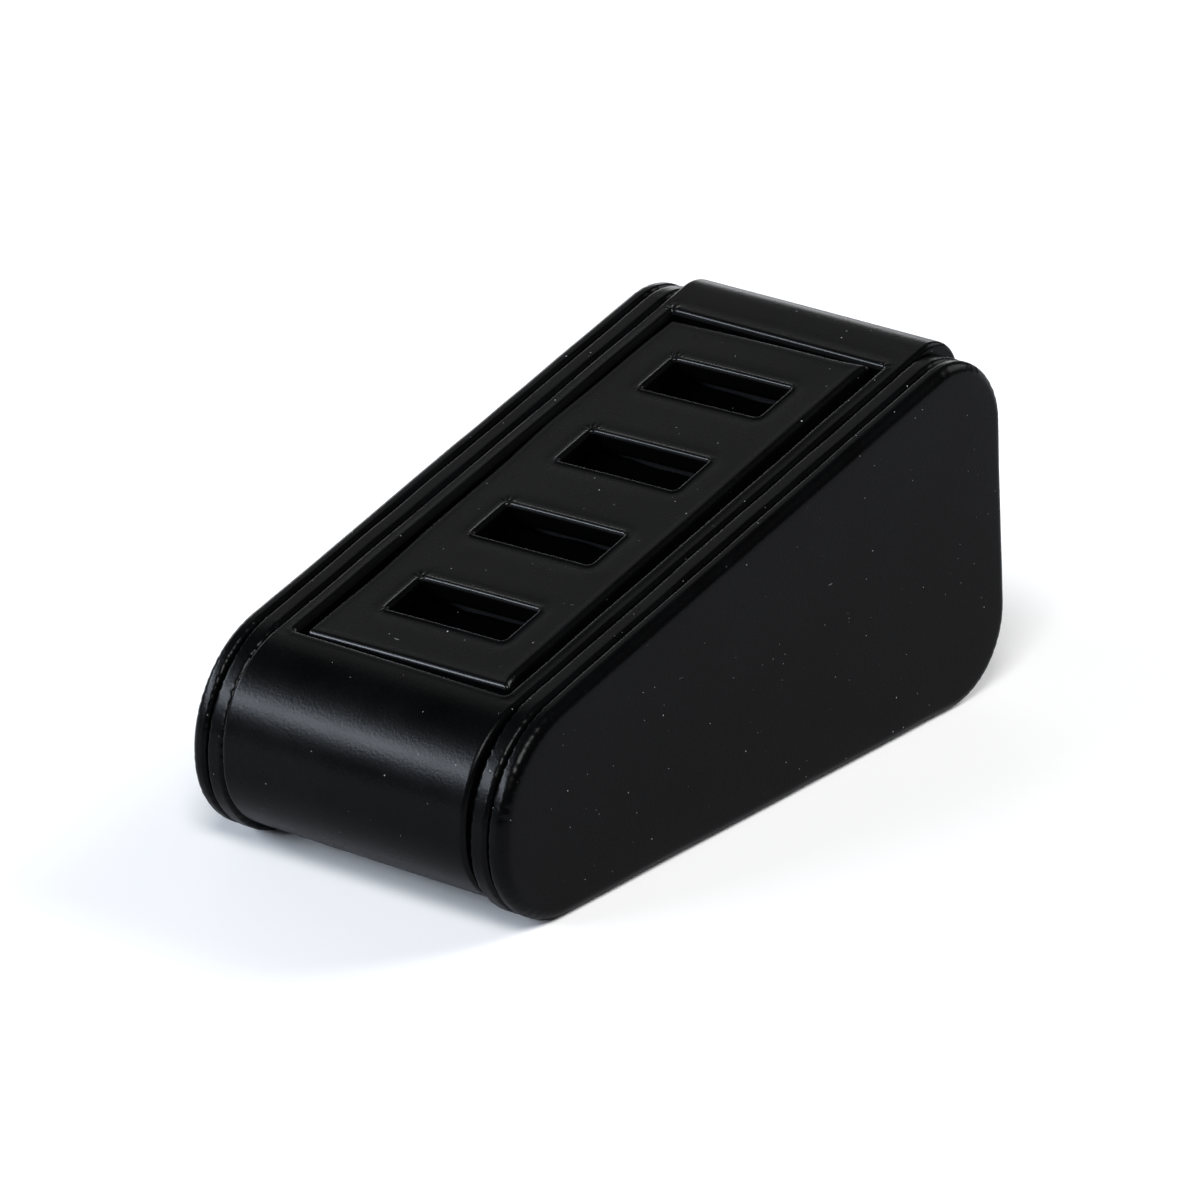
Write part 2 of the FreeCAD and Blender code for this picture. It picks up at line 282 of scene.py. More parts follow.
def plate_profile(x_hidden, x_shown, hidden_r, shown_r, sag):
    """Section of a wrapped plate from the middle of its hidden face, round both rims, to
    the middle of its shown face: inset from the outline, place across, and the normal's
    two parts. Rims are quarter circles; the shown face falls away by sag towards its rim."""
    side = 1 if x_shown > x_hidden else -1
    face = np.array([1.0, 0.66, 0.42, 0.24, 0.12])
    inset = [face_border * face + hidden_r * (1 - face)]
    across = [np.full(len(face), x_hidden)]
    lean = [np.full(len(face), -math.pi / 2)]
    a = np.linspace(-math.pi / 2, 0, 9)
    inset.append(hidden_r - hidden_r * np.cos(a))
    across.append(x_hidden + side * (hidden_r + hidden_r * np.sin(a)))
    lean.append(a)
    flat = np.linspace(0, 1, 5)[1:-1]
    inset.append(np.zeros(len(flat)))
    across.append(x_hidden + side * hidden_r + flat * (x_shown - x_hidden - side * (hidden_r + shown_r)))
    lean.append(np.zeros(len(flat)))
    a = np.linspace(0, math.pi / 2, 15)
    inset.append(shown_r - shown_r * np.cos(a))
    across.append(x_shown - side * (shown_r - shown_r * np.sin(a)))
    lean.append(a)
    back = face[::-1]
    inset.append(face_border * back + shown_r * (1 - back))
    across.append(np.full(len(back), x_shown))
    lean.append(np.full(len(back), math.pi / 2))
    inset = np.concatenate(inset)
    across = np.concatenate(across)
    lean = np.concatenate(lean)
    fall = sag * np.exp(-np.maximum(inset - shown_r * 0.4, 0) / 0.0028)
    across = across - side * np.where(lean > 0, fall * np.sin(lean), 0)
    return inset, across, np.cos(lean), side * np.sin(lean)


def arc_share(points, normals):
    """1 on the arcs, where the normal turns from point to point, and 0 on the straights."""
    turn = np.linalg.norm(np.roll(normals, -1, 0) - np.roll(normals, 1, 0), axis=1)
    share = (turn > 1e-3).astype(float)
    kernel = np.hanning(9) / np.hanning(9).sum()
    return np.convolve(np.concatenate([share[-4:], share, share[:4]]), kernel, "valid")


def wrapped_plate(name, x_hidden, x_shown, hidden_r, shown_r, sag, waves, gathers, seed, material):
    """Closed skin of a cheek layer: the section carried round the outline, then drawn in to
    the middle of each face. waves is a slow swell round the rims; gathers are the short
    wrinkles where leatherette is taken round the arcs of the nose and heel."""
    points, normals, run = side_outline(cheek_front, cheek_back, 0.0, cheek_radii, cheek_arc_steps,
                                        cheek_spacing)
    around = run[-1]
    run = run[:-1]
    inset, across, out_in, out_x = plate_profile(x_hidden, x_shown, hidden_r, shown_r, sag)
    rim = np.exp(-np.maximum(inset - rim_flat, 0) / rim_fade)
    swell = ripple(run, around, (5, 9, 14, 23), (waves, waves * 0.7, waves * 0.5, waves * 0.35), seed)
    lean_shift = ripple(run, around, (7, 12, 19), (1.0, 0.8, 0.6), seed + 1)
    arcness = arc_share(points, normals)
    short = ripple(run, around, (150, 191, 243), (1.0, 0.8, 0.6), seed + 2) * arcness
    rim_angle = np.arctan2(np.abs(out_x), np.maximum(out_in, 0))
    hidden_side = (out_x * np.sign(x_shown - x_hidden) < 0)
    fold = gathers * np.sin(2 * rim_angle) * rim * np.where(hidden_side, 1.0, 0.45)
    lift = swell[None, :] * rim[:, None] + short[None, :] * fold[:, None]
    lift = lift + (waves * 0.8 * lean_shift)[None, :] * (rim * out_x * np.sign(x_shown))[:, None]
    lift = lift - 1.2 * waves * rim[:, None]
    lift = np.minimum(lift, 0.0)
    y = (points[None, :, 0] - inset[:, None] * normals[None, :, 0]
         + lift * out_in[:, None] * normals[None, :, 0])
    z = (points[None, :, 1] - inset[:, None] * normals[None, :, 1]
         + lift * out_in[:, None] * normals[None, :, 1])
    x = across[:, None] + lift * out_x[:, None]
    middle = points.mean(0)
    shrink = np.array([0.86, 0.6, 0.3])
    rings = [np.stack([x, y, z], -1)]
    for end, order in ((0, shrink[::-1]), (-1, shrink)):
        edge = rings[-1][end] if end == -1 else rings[0][0]
        extra = [np.stack([np.full_like(edge[:, 0], edge[:, 0].mean()),
                           middle[0] + k * (edge[:, 1] - middle[0]),
                           middle[1] + k * (edge[:, 2] - middle[1])], -1) for k in order]
        rings = [np.stack(extra)] + rings if end == 0 else rings + [np.stack(extra)]
    stack = np.concatenate(rings)
    count = len(run)
    total = len(stack)
    grid = stack.reshape(-1, 3)
    poles = np.array([[stack[0, :, 0].mean(), middle[0], middle[1]],
                      [stack[-1, :, 0].mean(), middle[0], middle[1]]])
    flip = x_shown > x_hidden
    faces = ring_faces(total, count, flip).tolist()
    i = np.arange(count)
    first = np.stack([np.full(count, total * count), (i + 1) % count, i], -1)
    last = np.stack([np.full(count, total * count + 1), (total - 1) * count + i,
                     (total - 1) * count + (i + 1) % count], -1)
    caps = np.concatenate([first, last])
    faces += (caps[:, ::-1] if flip else caps).tolist()
    return new_piece(name, np.concatenate([grid, poles]), faces, material, "stand")


half_width = outer_right[1].x
layer_x = outer_right[0].x
body_x = inner_right[0].x
for side, word, seed in ((1, "right", 11), (-1, "left", 23)):
    skin = wrapped_plate("outer_cheek_skin_" + word, side * (layer_x + 0.00005), side * half_width,
                         hidden_r=0.0009, shown_r=0.0019, sag=0.00010, waves=0.00003, gathers=0.00005,
                         seed=seed, material=black_skin)
    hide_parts("outer_cheek_wrap_" + word)

# ---- inner cheeks --------------------------------------------------------------
# The second layer on each side: plain board in leatherette, glued between the
# outer cheek and the body, with tight rims that leave a dark groove each side.
for side, word, seed, gap in ((1, "right", 37, 0.00028), (-1, "left", 41, 0.00018)):
    skin = wrapped_plate("inner_cheek_skin_" + word, side * (body_x + gap), side * (layer_x - 0.00005),
                         hidden_r=0.0010, shown_r=0.0010, sag=0.0, waves=0.00004, gathers=0.00007,
                         seed=seed, material=black_skin)
    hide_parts("inner_cheek_wrap_" + word)

# ---- body band -----------------------------------------------------------------
# One strip of leatherette goes round the nose, the slope, the back and the bottom
# of the box. It is cut open over the recess, turned down its walls and glued.
band_front = band_box[0].y
band_back = band_box[1].y
band_foot = band_box[0].z
body_radii = (0.01369, 0.0176, 0.0069, 0.0120)
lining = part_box("tray_lining")
recess_x = lining[1].x
recess_near = 0.0145
recess_far = 0.1085
recess_depth = 0.0120
recess_corner = 0.0006
skin_thickness = 0.00045
band_spacing, band_across_spacing, lip_spacing = 0.0012, 0.0013, 0.00014
band_arc_steps = (40, 70, 36, 26)
lip_reach = 0.004             # how far round the recess the skin is shaped by its lip
skin_stand_off = 0.00004      # keeps the swelling skin inside the band's own box


def stops(start, end, spacing, fine, marks, reach):
    """Places from start to end, spacing apart, and fine apart within reach of each mark."""
    places = [np.linspace(start, end, int(round((end - start) / spacing)) + 1)]
    for mark in marks:
        steps = int(round(reach / fine))
        places.append(mark + np.arange(-steps, steps + 1) * fine)
    merged = np.unique(np.round(np.concatenate(places), 7))
    merged = merged[(merged >= start - 1e-9) & (merged <= end + 1e-9)]
    exact = np.array([start, end] + list(marks))
    keep = [m for m in merged if np.min(np.abs(exact - m)) < 1e-7 or np.min(np.abs(exact - m)) > fine * 0.6]
    keep = np.array(keep)
    wide = np.concatenate([[True], np.diff(keep) > fine * 0.55])
    return keep[wide | (np.min(np.abs(keep[:, None] - exact[None, :]), axis=1) < 1e-7)]


def rounded_hole(p, q, half_p, half_q, corner):
    """Moves grid points so that a rectangle's corners become arcs, and measures how far
    each point is outside. In a corner square the point (u, v) goes to
    (u * sqrt(1 - v*v/2), v * sqrt(1 - u*u/2)), and the move dies away outside."""
    u = (np.abs(p) - (half_p - corner)) / corner
    v = (np.abs(q) - (half_q - corner)) / corner
    uc = np.clip(u, 0, 1)
    vc = np.clip(v, 0, 1)
    beyond = corner * np.hypot(np.maximum(u - 1, 0), np.maximum(v - 1, 0))
    fade = np.exp(-beyond / (0.9 * corner))
    dp = corner * (uc * np.sqrt(1 - vc * vc / 2) - uc) * fade
    dq = corner * (vc * np.sqrt(1 - uc * uc / 2) - vc) * fade
    p = p + np.sign(p) * dp
    q = q + np.sign(q) * dq
    u = np.abs(p) - (half_p - corner)
    v = np.abs(q) - (half_q - corner)
    distance = np.hypot(np.maximum(u, 0), np.maximum(v, 0)) + np.minimum(np.maximum(u, v), 0) - corner
    return p, q, distance


def lip_radius(p, q, half_p, half_q, side_r, end_r):
    """Radius of the turned lip: side_r beside the hole, end_r beyond its ends, and a mix
    by direction round the corners."""
    u = np.maximum(np.abs(p) - half_p, 0) + 1e-9
    v = np.maximum(np.abs(q) - half_q, 0)
    share = u * u / (u * u + v * v)
    return end_r + (side_r - end_r) * share


def turned_lip(distance, radius):
    """How far a skin has rolled down at this distance from the edge it turns over."""
    inside = np.clip(radius - distance, 0, radius)
    return radius - np.sqrt(np.maximum(radius * radius - inside * inside, 0))


def on_slope(across, up, out):
    """Points of the sloping top: across, up the slope from the nose corner, out of it."""
    y = cheek_front + up * slope_cos - out * slope_sin
    z = nose_height + up * slope_sin + out * slope_cos
    return np.stack([across, y, z], -1)


def bell(value, place, width):
    """1 at place, dying away over width on both sides: exp(-((value - place) / width)^2)."""
    return np.exp(-((value - place) / width) ** 2)


def puckers(p, q, corner_p, corner_q, height, reach, count, phase, away):
    """Small folds that spread from a cut corner, mostly in the direction away from the
    opening: a sine in the angle round it, unevenly spaced, which dies away with distance."""
    radius = np.hypot(p - corner_p, q - corner_q)
    angle = np.arctan2(q - corner_q, p - corner_p)
    facing = np.maximum(np.cos((angle - away) / 2), 0) ** 4
    folds = np.sin(count * angle + phase + 1.4 * np.sin(2 * angle + phase))
    return height * facing * bell(radius, 0, reach) * folds * np.minimum(radius / 0.0004, 1)


def hole_border(low_row, high_row, low_col, high_col, columns):
    """Point numbers round a rectangular hole in a grid, anticlockwise in (column, row)."""
    rows = np.arange(low_row, high_row + 1)
    cols = np.arange(low_col, high_col + 1)
    return np.concatenate([low_row * columns + cols[:-1], rows[:-1] * columns + high_col,
                           high_row * columns + cols[::-1][:-1], rows[::-1][:-1] * columns + low_col])


def dull_walls(piece, first, count):
    """Gives a run of faces the dull skin found inside an opening."""
    piece.data.materials.append(inner_skin)
    index = np.zeros(len(piece.data.polygons), np.int32)
    index[first:first + count] = 1
    piece.data.polygons.foreach_set("material_index", index)


def solid_sheet(piece, thickness):
    """Gives a sheet its real thickness on its hidden side."""
    wall = piece.modifiers.new("Sheet", "SOLIDIFY")
    wall.thickness = thickness
    wall.offset = -1.0
    wall.use_even_offset = False
    return piece


slope_stops = stops(-0.002, 0.125, band_spacing, lip_spacing, (recess_near, recess_far), 0.0028)
points, normals, run = side_outline(band_front, band_back, band_foot, body_radii, band_arc_steps,
                                    band_spacing, slope_stops)
around = run[-1]
run = run[:-1]
edge_left = -(body_x + 0.00012)
edge_right = body_x + 0.00013
rim = 0.0009
arc = np.linspace(0, math.pi / 2, 10)
wall_depths = np.linspace(0.0040, rim, 8)
flat_stops = stops(edge_left + rim, edge_right - rim, band_across_spacing, lip_spacing,
                   (-recess_x, recess_x), 0.0024)
columns_x = np.concatenate([np.full(8, edge_left), (edge_left + rim - rim * np.cos(arc))[1:-1], flat_stops,
                            (edge_right - rim + rim * np.cos(arc))[::-1][1:-1], np.full(8, edge_right)])
columns_inset = np.concatenate([wall_depths, (rim - rim * np.sin(arc))[1:-1], np.zeros(len(flat_stops)),
                                (rim - rim * np.sin(arc))[::-1][1:-1], wall_depths[::-1]])
columns = len(columns_x)
side_lip = 0.0009
end_lip = 0.0008
across = np.repeat(columns_x[None, :], len(run), 0)
inset = np.repeat(columns_inset[None, :], len(run), 0)
up = (points[:, 0] - cheek_front) / slope_cos
level = np.abs(normals[:, 0] + slope_sin) < 1e-6
up_grid = np.repeat(up[:, None], columns, 1)
middle = (recess_near + recess_far) / 2
recess_half = (recess_far - recess_near) / 2
moved_x, moved_up, beyond = rounded_hole(across, up_grid - middle, recess_x, recess_half, recess_corner)
near_hole = level[:, None] & (beyond < lip_reach)
shift_up = np.where(near_hole, moved_up + middle - up_grid, 0)
across = np.where(near_hole, moved_x, across)
lip_r = lip_radius(across, up_grid + shift_up - middle, recess_x, recess_half, side_lip, end_lip)
roll_down = np.where(near_hole, turned_lip(beyond, lip_r), 0)
# a low bead stands round the lip, with a slack hollow outside it
bead = np.where(near_hole, 0.00007 * bell(beyond, 0.0009, 0.0005), 0)
bead = bead - np.where(near_hole, 0.00005 * bell(beyond, 0.0024, 0.0009), 0)
far_right = math.pi / 4
far_left = 3 * math.pi / 4
# folds at the recess's corners: place, height, reach, count, phase, way they run
recess_folds = ((-recess_x, recess_far, 0.00020, 0.0014, 7, 0.6, far_left),
                (recess_x, recess_far, 0.00007, 0.0012, 6, 1.2, far_right),
                (recess_x, recess_near, 0.00003, 0.0012, 6, 0.2, -far_right),
                (-recess_x, recess_near, 0.00002, 0.0012, 5, 2.0, -far_left))
folds = np.where(near_hole, sum(puckers(across, up_grid, *fold) for fold in recess_folds), 0)
slow_swell = ripple(run, around, (6, 11, 17), (0.00003, 0.00003, 0.00002), 5)[:, None]
slow_swell = slow_swell * np.cos(across / 0.009)
depth = (inset + roll_down - bead - folds * (columns_inset == 0) + skin_stand_off
         + slow_swell * (columns_inset < rim))
grid = np.stack([across, points[:, 0:1] - depth * normals[:, 0:1] + shift_up * slope_cos,
                 points[:, 1:2] - depth * normals[:, 1:2] + shift_up * slope_sin], -1)
rows = len(run)
i = np.arange(rows)[:, None]
j = np.arange(columns - 1)[None, :]
quads = np.stack([i * columns + j, ((i + 1) % rows) * columns + j, ((i + 1) % rows) * columns + j + 1,
                  i * columns + j + 1], -1)
low_row = int(np.argmin(np.abs(up - recess_near) + 10 * ~level))
high_row = int(np.argmin(np.abs(up - recess_far) + 10 * ~level))
low_col = int(np.argmin(np.abs(columns_x + recess_x)))
high_col = int(np.argmin(np.abs(columns_x - recess_x)))
opened = ((i >= low_row) & (i < high_row) & (j >= low_col) & (j < high_col))
quads = quads[~opened].reshape(-1, 4)
border = hole_border(low_row, high_row, low_col, high_col, columns)
flat_grid = grid.reshape(-1, 3)
wall_levels = np.array([0.0004, 0.0012, 0.0025, 0.0045, 0.0070, 0.0095, recess_depth - end_lip])
border_points = flat_grid[border]
wall_points = [border_points + np.array([0, slope_sin, -slope_cos]) * d for d in wall_levels]
offset = len(flat_grid)
count = len(border)
k = np.arange(count)
index = np.concatenate([border[None, :], offset + np.arange(len(wall_levels))[:, None] * count + k[None, :]])
wall_quads = np.stack([index[:-1], np.roll(index[:-1], -1, 1), np.roll(index[1:], -1, 1), index[1:]], -1)
band_faces = np.concatenate([quads[:, ::-1], wall_quads.reshape(-1, 4)])
band_skin = new_piece("body_band", np.concatenate([flat_grid] + wall_points), band_faces.tolist(), black_skin,
                      "stand")
# painted shade on the band: where the lip rolls down into the recess, and in full over all its walls
band_drop = np.where(near_hole, (roll_down - 0.0004) / 0.0005, 0).reshape(-1)
wall_count = count * len(wall_levels)
mark(band_skin, "painted_shade", np.concatenate([band_drop, np.ones(wall_count)]))
band_taut = np.where(near_hole, bell(beyond, 0.0004, 0.0004), 0).reshape(-1)
mark(band_skin, "taut", np.concatenate([band_taut, np.zeros(wall_count)]))
dull_walls(band_skin, len(quads), len(band_faces) - len(quads))
solid_sheet(band_skin, skin_thickness)
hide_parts("band_wrap")

# ---- insert --------------------------------------------------------------------
# A slotted board in leatherette that drops loose into the recess. The skin is
# turned under at the rim and pulled down through each slot, with a bead along
# every lip and small folds at the corners where it was cut.
insert_half_x = 0.0199
insert_half_up = 0.04595
insert_depth = 0.0034
insert_corner, slot_corner = 0.0009, 0.0007
insert_spacing, edge_spacing, edge_reach = 0.0011, 0.00013, 0.0021
slot_half_x = 0.0118
slot_across = 0.0004
slot_left = slot_across - slot_half_x
slot_right = slot_across + slot_half_x
slot_lip = 0.00055
slot_half_up = 0.0043
slot_pitch = 0.02133
slot_first = -insert_half_up + 0.0098 + slot_half_up
skew = math.radians(0.6)
tilt = math.radians(-1.0)
seat_up = 0.0153 + insert_half_up
seat_across = -0.0005
settle = 0.00012              # the skin lies this far under the level of the slope


def seated(p, q, out):
    """Insert points laid as the insert lies: tilted about its length, skewed, on the slope."""
    x = p * math.cos(tilt) + out * math.sin(tilt)
    h = -p * math.sin(tilt) + out * math.cos(tilt)
    turned_x = x * math.cos(skew) - q * math.sin(skew)
    turned_q = x * math.sin(skew) + q * math.cos(skew)
    return on_slope(turned_x + seat_across, turned_q + seat_up, h)


slot_middles = [slot_first + n * slot_pitch for n in range(4)]
slot_edges = [m + s * slot_half_up for m in slot_middles for s in (-1, 1)]
q_stops = stops(-insert_half_up, insert_half_up, insert_spacing, edge_spacing,
                [-insert_half_up] + slot_edges + [insert_half_up], edge_reach)
p_stops = stops(-insert_half_x, insert_half_x, insert_spacing, edge_spacing,
                [-insert_half_x, slot_left, slot_right, insert_half_x], edge_reach)
columns = len(p_stops)
rows = len(q_stops)
p0, q0 = np.meshgrid(p_stops, q_stops)
p, q = p0.copy(), q0.copy()
out = np.zeros_like(p)
# outer rim: corners rounded in plan, then the skin rolls over it
rim_r = 0.0010
p, q, beyond = rounded_hole(p, q, insert_half_x, insert_half_up, insert_corner)
out -= turned_lip(-beyond, rim_r)
out += 0.00005 * bell(-beyond, 0.0012, 0.0006)
taut = bell(-beyond, 0.0004, 0.0005)
for number, centre in enumerate(slot_middles):
    hp, hq, gap = rounded_hole(p - slot_across, q - centre, slot_half_x, slot_half_up, slot_corner)
    close = (np.abs(q0 - centre) < slot_half_up + 0.0035) & (gap > -1e-6)
    p = np.where(close, hp + slot_across, p)
    q = np.where(close, hq + centre, q)
    out -= np.where(close, turned_lip(gap, slot_lip), 0)
    out += np.where(close, 0.00010 * bell(gap, 0.00055, 0.0003), 0)
    out -= np.where(close, 0.00009 * bell(gap, 0.0015, 0.0008), 0)
    # the left end is cut slack, so only its folded far corner is pulled tight
    to_corner = np.hypot(p - slot_left - 0.0006, q - centre - slot_half_up - 0.0002)
    edge_pull = bell(gap, 0.0002, 0.0003) * np.clip((p - slot_left) / 0.0008, 0, 1)
    pull = np.maximum(edge_pull, bell(to_corner, 0, 0.0009))
    taut = np.where(close, np.maximum(taut, pull), taut)
    phase = 0.9 * number
    top = centre + slot_half_up
    low = centre - slot_half_up
    slot_folds = ((slot_left, top, 0.00024, 0.0012, 8, phase, far_left),
                  (slot_right, top, 0.00004, 0.0009, 5, phase + 1, far_right),
                  (slot_right, low, 0.00003, 0.0009, 5, phase + 2, -far_right),
                  (slot_left, low, 0.00006, 0.0009, 6, phase + 3, -far_left))
    for fold in slot_folds:
        out += puckers(p, q, *fold)
swell = np.cos(np.clip(p0 / insert_half_x, -1, 1) * math.pi / 2) * 0.00012
# the long left side bows out past its middle and in towards its ends, and the two
# right-hand corners stick out as ears where the skin is folded double
left_share = np.clip((-p0 - slot_half_x) / (insert_half_x - slot_half_x), 0, 1) ** 2
right_share = np.clip((p0 - slot_half_x) / (insert_half_x - slot_half_x), 0, 1) ** 2
# bows of the left side: how far out, where up the slope, over what length
left_bows = ((0.00055, 0.0138, 0.0085), (-0.00040, -0.0290, 0.0085), (-0.00050, insert_half_up, 0.0050))
bow = sum(height * bell(q0, place, length) for height, place, length in left_bows)
near_ear = bell(q0, -insert_half_up, 0.0016)
far_ear = bell(q0, insert_half_up, 0.0020)
p = p - left_share * bow + right_share * (0.0010 * near_ear + 0.0005 * far_ear)
q = q + right_share * 0.0005 * far_ear
out += right_share * (0.00012 * near_ear + 0.00010 * far_ear)
out += swell + 0.00004 * np.sin(q0 / 0.0061 + 0.7) * np.cos(p0 / 0.0072) - settle
flat_grid = seated(p, q, out).reshape(-1, 3)
i = np.arange(rows - 1)[:, None]
j = np.arange(columns - 1)[None, :]
quads = np.stack([i * columns + j, i * columns + j + 1, (i + 1) * columns + j + 1, (i + 1) * columns + j], -1)
opened = np.zeros((rows - 1, columns - 1), bool)
low_col = int(np.argmin(np.abs(p_stops - slot_left)))
high_col = int(np.argmin(np.abs(p_stops - slot_right)))
slot_rows = []
for centre in slot_middles:
    low_row = int(np.argmin(np.abs(q_stops - centre + slot_half_up)))
    high_row = int(np.argmin(np.abs(q_stops - centre - slot_half_up)))
    slot_rows.append((low_row, high_row))
    opened |= (i >= low_row) & (i < high_row) & (j >= low_col) & (j < high_col)
faces = [quads[~opened].reshape(-1, 4)]
top_faces = len(faces[0])
parts = [flat_grid]
total = len(flat_grid)
flat_p, flat_q, flat_out = p.reshape(-1), q.reshape(-1), out.reshape(-1)


def turn_down(border, start, inward, border_width, middle, half):
    """Walls below a border of grid points, then the strip turned flat on the underside."""
    levels = np.array([0.0, 0.25, 0.5, 0.75, 1.0])
    bp, bq, bo = flat_p[border], flat_q[border], flat_out[border]
    made = [seated(bp, bq, bo + (-insert_depth - bo) * t) for t in levels[1:]]
    scale_p = 1 + inward * border_width / half[0]
    scale_q = 1 + inward * border_width / half[1]
    turned_p = middle[0] + (bp - middle[0]) * scale_p
    turned_q = middle[1] + (bq - middle[1]) * scale_q
    made.append(seated(turned_p, turned_q, np.full_like(bo, -insert_depth)))
    count = len(border)
    index = np.concatenate([border[None, :],
                            start + np.arange(len(made))[:, None] * count + np.arange(count)])
    quad = np.stack([index[:-1], np.roll(index[:-1], -1, 1), np.roll(index[1:], -1, 1), index[1:]], -1)
    return made, quad.reshape(-1, 4)


for (low_row, high_row), centre in zip(slot_rows, slot_middles):
    border = hole_border(low_row, high_row, low_col, high_col, columns)
    made, quad = turn_down(border, total, 1, 0.0025, (slot_across, centre), (slot_half_x, slot_half_up))
    parts += made
    faces.append(quad)
    total += len(border) * len(made)
slot_faces = sum(len(quad) for quad in faces[1:])
slot_points = total - len(flat_grid)
border = hole_border(0, rows - 1, 0, columns - 1, columns)
made, quad = turn_down(border, total, -1, 0.0045, (0.0, 0.0), (insert_half_x, insert_half_up))
parts += made
faces.append(quad[:, ::-1])
insert_skin = new_piece("insert_skin", np.concatenate(parts), np.concatenate(faces).tolist(), black_skin,
                        "insert")
# painted shade on the insert: where the skin drops into each slot, in full down the slot walls, and at 0.3 on
# the outer rim walls
insert_drop = (-out - 0.00030) / 0.0003
round_slots = (np.abs(p0) < slot_half_x + 0.003) & (np.abs(q0) < insert_half_up - 0.004)
insert_drop = np.where(round_slots, insert_drop, 0)
rim_points = len(insert_skin.data.vertices) - len(flat_grid) - slot_points
below = np.concatenate([np.ones(slot_points), np.full(rim_points, 0.3)])
mark(insert_skin, "painted_shade", np.concatenate([insert_drop.reshape(-1), below]))
mark(insert_skin, "taut", np.concatenate([taut.reshape(-1), np.zeros(len(below))]))
dull_walls(insert_skin, top_faces, slot_faces)
solid_sheet(insert_skin, skin_thickness)
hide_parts("insert_wrap")

# ---- foam rolls under the slots --------------------------------------------------
# Two strips of foam in brushed black knit stand side by side under each slot, and
# a ring's shank is pushed into the slit between their rounded crests.
roll_skin = leatherette("black_knit", (0.0004, 0.0004, 0.0005), gloss=0.90, pebble_depth=0.00004,
                        cover=0.25, unevenness=0.05, shine=0.004)
roll_half = 0.0148
roll_thick = 0.0059
roll_top_level = -0.0042
roll_foot_level = -0.0104
half_slit = 0.0003            # half the slit that a ring is pushed into
end_tuck = 0.18               # how much slimmer and lower a roll is at its very ends
roll_squeeze = 0.97
for number, centre in enumerate(slot_middles):
    for word, lean in (("front", -1), ("back", 1)):
        middle = centre + lean * (half_slit + roll_thick / 2)
        r = roll_thick / 2
        a = np.linspace(math.pi, 0, 21)
        shape_q = np.concatenate([[-r * 0.4], np.full(5, -r), r * np.cos(a), np.full(5, r), [r * 0.4]])
        side_levels = np.linspace(roll_foot_level, roll_top_level - r, 6)[:-1]
        shape_h = np.concatenate([[roll_foot_level], side_levels, roll_top_level - r + r * np.sin(a),
                                  side_levels[::-1], [roll_foot_level]])
        along = np.linspace(-roll_half, roll_half, 61)
        ends = np.abs(along) / roll_half
        tuck = 1 - end_tuck * ends ** 14
        rng = np.random.default_rng(100 + 2 * number + lean)
        sway = 0.00012 * np.sin(along / 0.0041 + rng.random() * 6)
        sway = sway + 0.00008 * np.sin(along / 0.0017 + rng.random() * 6)
        crest = (shape_h > roll_top_level - r)[None, :]
        qq = middle + shape_q[None, :] * tuck[:, None] * roll_squeeze + sway[:, None] * crest
        hh = roll_foot_level + (shape_h[None, :] - roll_foot_level) * tuck[:, None]
        hh = hh + (0.6 * sway * (1 - ends ** 8))[:, None] * crest
        pp = np.repeat(slot_across + along[:, None], len(shape_q), 1)
        grid = seated(pp, qq, hh)
        count = len(shape_q)
        faces = ring_faces(len(along), count, True).tolist()
        points = grid.reshape(-1, 3)
        last = len(points)
        points = np.concatenate([points, grid[0].mean(0)[None], grid[-1].mean(0)[None]])
        k = np.arange(count)
        start_cap = np.stack([np.full(count, last), k, (k + 1) % count], -1)
        tail = (len(along) - 1) * count
        end_cap = np.stack([np.full(count, last + 1), tail + (k + 1) % count, tail + k], -1)
        faces += start_cap.tolist() + end_cap.tolist()
        roll = new_piece("slot_%d_%s_pad" % (number + 1, word), points, faces, roll_skin, "insert")
        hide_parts("slot_%d_%s_roll" % (number + 1, word))

# ---- hidden boards, foam, felt and lining ---------------------------------------
# What the leatherette is glued to: fibreboard box, softwood blocks, grey board
# layers, foam sheet, the black lining of the recess and the felt underneath.


def matt(name, dark, light, size, stretch, rough, depth):
    """Dull material: two tones mixed by a noise, which also gives the bump."""
    made = bpy.data.materials.new(name)
    made.use_nodes = True
    tree = made.node_tree
    shader = tree.nodes["Principled BSDF"]
    shader.inputs["Specular IOR Level"].default_value = 0.2
    noise = node(tree, "ShaderNodeTexNoise", (), Vector=place_and_scale(tree, stretch), Scale=size,
                 Detail=6.0, Roughness=0.65)
    tone = node(tree, "ShaderNodeMixRGB", {"blend_type": "MIX"}, Fac=noise.outputs["Fac"],
                Color1=dark + (1,), Color2=light + (1,))
    tree.links.new(tone.outputs["Color"], shader.inputs["Base Color"])
    spread = node(tree, "ShaderNodeMapRange", (), Value=noise.outputs["Fac"],
                  To_Min=rough - 0.08, To_Max=rough + 0.08)
    tree.links.new(spread.outputs["Result"], shader.inputs["Roughness"])
    bump = node(tree, "ShaderNodeBump", (), Strength=1.0, Distance=depth, Height=noise.outputs["Fac"])
    tree.links.new(bump.outputs["Normal"], shader.inputs["Normal"])
    return made


